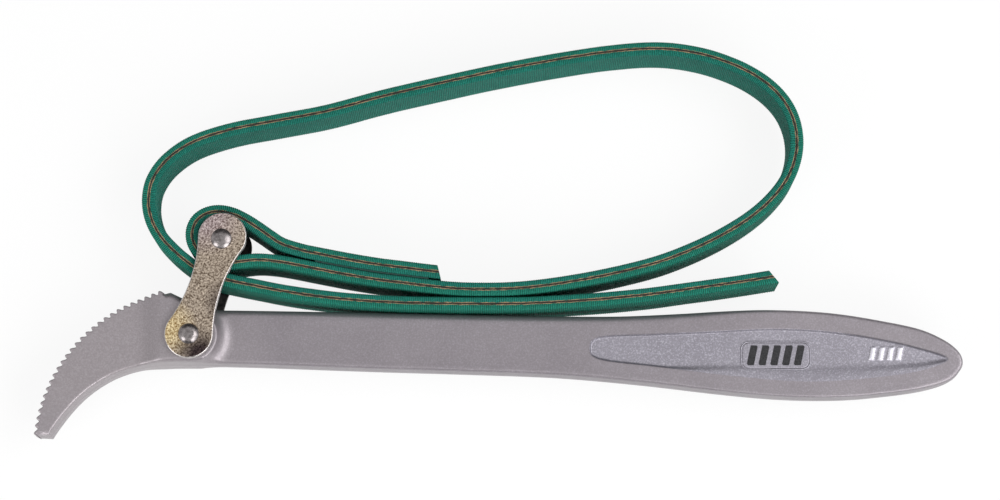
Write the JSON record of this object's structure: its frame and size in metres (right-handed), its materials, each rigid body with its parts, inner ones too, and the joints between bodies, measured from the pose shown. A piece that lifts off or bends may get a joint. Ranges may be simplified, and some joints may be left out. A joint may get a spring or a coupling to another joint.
{
  "type": "oil filter strap wrench",
  "caption": "Strap wrench for oil filters: forged handle with a toothed jaw, two riveted link plates and a laminated strap laid out in its working loop.",
  "frame": {"origin": "on the axis of the pivot rivet, at the flat of its rear head, which the wrench lies on", "axes": "+X along the handle towards the grip, +Y across the handle towards the strap loop, +Z along the rivets"},
  "size_m": [0.297, 0.1279, 0.0266],
  "materials": {
    "forged_steel": "satin silver coating on a forging",
    "plated_steel": "rough zinc plating with a yellow tint",
    "rivet_steel": "bright plated",
    "green_webbing": "cross-ribbed woven webbing",
    "dark_core": "dark brown friction layer",
    "tan_scrim": "tan open weave",
    "badge_plate": "satin",
    "badge_ink": "black print"
  },
  "bodies": {
    "handle_body": {"handle": "forged_steel", "grip_badge": "badge_plate", "badge_mark": "badge_ink"},
    "link": {"link_plate_front": "plated_steel", "link_plate_rear": "plated_steel", "pivot_rivet": "rivet_steel", "eye_rivet": "rivet_steel"},
    "sleeve": {"eye_sleeve": "rivet_steel"},
    "strap": {"strap_outer_ply": "green_webbing", "strap_inner_ply": "green_webbing", "strap_core": "dark_core", "strap_scrim_outer": "tan_scrim", "strap_scrim_inner": "tan_scrim", "eye_bond": "dark_core"}
  },
  "joints": [
    {"name": "link_swing", "type": "hinge", "parent": "handle_body", "child": "link", "pos_m": [0, 0, 0.0133], "axis": [0, 0, 1], "range_deg": [0, 33]},
    {"name": "sleeve_spin", "type": "hinge", "parent": "link", "child": "sleeve", "pos_m": [0.00998, 0.03072, 0.0133], "axis": [0, 0, 1], "continuous": true},
    {"name": "strap_turn", "type": "hinge", "parent": "link", "child": "strap", "pos_m": [0.00998, 0.03072, 0.0133], "axis": [0, 0, 1], "range_deg": [-33, 0]}
  ],
  "couplings": [
    {"joint": "strap_turn", "follows": "link_swing", "ratio": -1}
  ]
}
